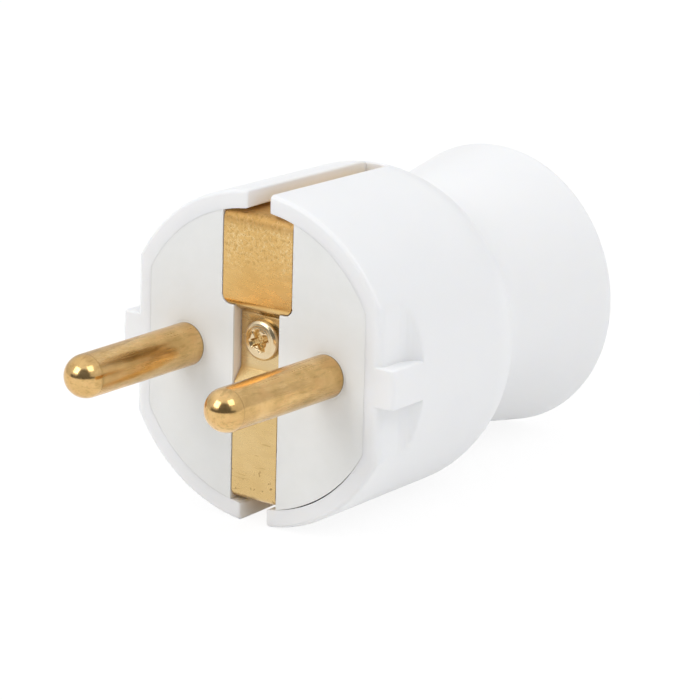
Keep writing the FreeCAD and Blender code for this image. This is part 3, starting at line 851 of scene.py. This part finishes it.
def make_camera():
    """The camera of the photograph, at its distance from the target along its back direction."""
    right, up, back = camera_axes()
    data = bpy.data.cameras.new("camera")
    data.sensor_width = SENSOR
    data.lens = FOCAL_PIXELS * SENSOR / IMAGE_SIDE
    data.clip_start = CLIP_START
    data.clip_end = CLIP_END
    camera = bpy.data.objects.new("camera", data)
    turn = Matrix((right, up, back)).transposed().to_4x4()
    camera.matrix_world = Matrix.Translation(CAMERA_TARGET + back * CAMERA_DISTANCE) @ turn
    bpy.context.scene.collection.objects.link(camera)
    bpy.context.scene.camera = camera


def make_floor():
    """A pale table top that the sleeve's front edge and the bell's rim both touch."""
    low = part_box("housing")[0]
    front = Vector((0.0, FLOOR_FRONT, low.z))
    rear = Vector((0.0, BELL_RIM_BACK, -BELL_RIM_RADIUS))
    slope = (rear - front).normalized()
    corners = [front + FLOOR_REACH * (Vector((x, 0.0, 0.0)) + slope * y) for x, y in FLOOR_SIDES]
    mesh = bpy.data.meshes.new("floor")
    mesh.from_pydata([tuple(corner) for corner in corners], [], [(0, 1, 2, 3)])
    floor = bpy.data.objects.new("floor", mesh)
    bpy.context.scene.collection.objects.link(floor)
    mesh.materials.append(floor_finish())


def floor_finish():
    """White table: a plain white bounce for soft light.

    Seen directly or mirrored it is white and keeps a faint shadow.
    """
    shader = Shader("floor_white")
    path = shader.add("ShaderNodeLightPath")
    seen = path.outputs["Is Camera Ray"]
    for name in ("Is Glossy Ray", "Is Transmission Ray"):
        seen = shader.math("MAXIMUM", seen, path.outputs[name])
    bounce = shader.add("ShaderNodeBsdfDiffuse")
    shader.put(FLOOR_BOUNCE, bounce.inputs["Color"])
    shadow = shader.add("ShaderNodeBsdfDiffuse")
    shader.put(FLOOR_SHADOW, shadow.inputs["Color"])
    glow = shader.add("ShaderNodeEmission")
    shader.put(FLOOR_GLOW, glow.inputs["Strength"])
    both = shader.add("ShaderNodeAddShader")
    shader.link(shadow.outputs[0], both.inputs[0])
    shader.link(glow.outputs[0], both.inputs[1])
    choice = shader.add("ShaderNodeMixShader")
    shader.link(seen, choice.inputs["Fac"])
    shader.link(bounce.outputs[0], choice.inputs[1])
    shader.link(both.outputs[0], choice.inputs[2])
    shader.link(choice.outputs[0], shader.output.inputs["Surface"])
    return shader.material


def make_world():
    """Studio surround: white overhead, dimmer at the sides and behind.

    It is dark round the camera and low in front.
    """
    world = bpy.data.worlds.new("studio")
    world.use_nodes = True
    tree = world.node_tree
    tree.nodes.clear()
    output = tree.nodes.new("ShaderNodeOutputWorld")
    light = tree.nodes.new("ShaderNodeBackground")
    coordinates = tree.nodes.new("ShaderNodeTexCoord")
    split = tree.nodes.new("ShaderNodeSeparateXYZ")
    ramp = tree.nodes.new("ShaderNodeValToRGB")
    low_end, high_end = ramp.color_ramp.elements
    low_end.position = HORIZON_HEIGHT
    low_end.color = (*HORIZON_TONE, 1.0)
    high_end.position = CEILING_HEIGHT
    high_end.color = (*CEILING_TONE, 1.0)
    tree.links.new(coordinates.outputs["Generated"], split.inputs["Vector"])
    tree.links.new(split.outputs["Z"], ramp.inputs["Fac"])
    tree.links.new(ramp.outputs["Color"], light.inputs["Color"])

    def towards(direction):
        facing = tree.nodes.new("ShaderNodeVectorMath")
        facing.operation = "DOT_PRODUCT"
        facing.inputs[1].default_value = Vector(direction).normalized()
        tree.links.new(coordinates.outputs["Generated"], facing.inputs[0])
        return facing.outputs["Value"]

    def eased(value, start, stop, low, high):
        ease = tree.nodes.new("ShaderNodeMapRange")
        ease.interpolation_type = "SMOOTHSTEP"
        for name, number in (("From Min", start), ("From Max", stop), ("To Min", low), ("To Max", high)):
            ease.inputs[name].default_value = number
        tree.links.new(value, ease.inputs["Value"])
        return ease.outputs["Result"]

    def cone(direction, outer, inner, low, high):
        """Goes from low to high between two angles from a direction."""
        return eased(towards(direction), math.cos(outer), math.cos(inner), low, high)

    def combined(operation, first, second):
        node = tree.nodes.new("ShaderNodeMath")
        node.operation = operation
        tree.links.new(first, node.inputs[0])
        tree.links.new(second, node.inputs[1])
        return node.outputs[0]

    patch = cone(DARK_DIRECTION, DARK_OUTER, DARK_INNER, 0.0, 1.0)
    in_front = cone(BAND_DIRECTION, BAND_OUTER, BAND_INNER, 0.0, 1.0)
    low_down = eased(split.outputs["Z"], BAND_LOW, BAND_TOP, 1.0, 0.0)
    dark = combined("MAXIMUM", patch, combined("MULTIPLY", in_front, low_down))
    strength = eased(dark, 0.0, 1.0, WORLD_STRENGTH, WORLD_STRENGTH * DARK_SHARE)
    behind = cone(BACK_DIRECTION, BACK_OUTER, BACK_INNER, 1.0, BACK_SHARE)
    tree.links.new(combined("MULTIPLY", strength, behind), light.inputs["Strength"])
    tree.links.new(light.outputs[0], output.inputs["Surface"])
    bpy.context.scene.world = world


def softbox(name, direction, power):
    """A square area lamp that looks at the plug from a direction along the camera's right, up and back."""
    data = bpy.data.lights.new(name, "AREA")
    data.shape = "SQUARE"
    data.size = SOFTBOX_SIDE
    data.energy = power
    lamp = bpy.data.objects.new(name, data)
    right, up, back = camera_axes()
    towards = (right * direction[0] + up * direction[1] + back * direction[2]).normalized()
    lamp.location = towards * SOFTBOX_DISTANCE
    lamp.rotation_euler = towards.to_track_quat("Z", "Y").to_euler()
    bpy.context.scene.collection.objects.link(lamp)


make_camera()
make_world()
make_floor()
softbox("softbox_left", LEFT_SOFTBOX, LEFT_POWER)
softbox("softbox_right", RIGHT_SOFTBOX, RIGHT_POWER)

white = glossy_moulding()
satin = satin_moulding()
pin_brass = turned_brass()
strap_brass = rolled_brass()
screw_brass = plated_brass()
plain_brass = inner_brass()
steel = zinc_steel()

pieces = {
    "housing": (housing_piece, "housing", white),
    "pin_carrier": (carrier_piece, "carrier", satin),
    "left_pin": (pin_piece, "brass", pin_brass),
    "right_pin": (pin_piece, "brass", pin_brass),
    "pin_terminal_screws": (plain_piece, "steel", steel),
    "earth_strap": (strap_piece, "strap_brass", strap_brass),
    "earth_terminal_nut": (plain_piece, "brass", plain_brass),
    "earth_clamp_washer": (plain_piece, "brass", plain_brass),
    "earth_terminal_screw": (plain_piece, "steel", steel),
    "assembly_screw": (screw_piece, "screw_brass", screw_brass),
    "threaded_insert": (plain_piece, "brass", plain_brass),
    "cord_clamp_bar": (plain_piece, "carrier", satin),
    "cord_clamp_screws": (plain_piece, "steel", steel),
}
for node, (make_piece, slot, finish) in pieces.items():
    make_piece(node, slot, finish)

bpy.context.scene.view_settings.view_transform = "Standard"
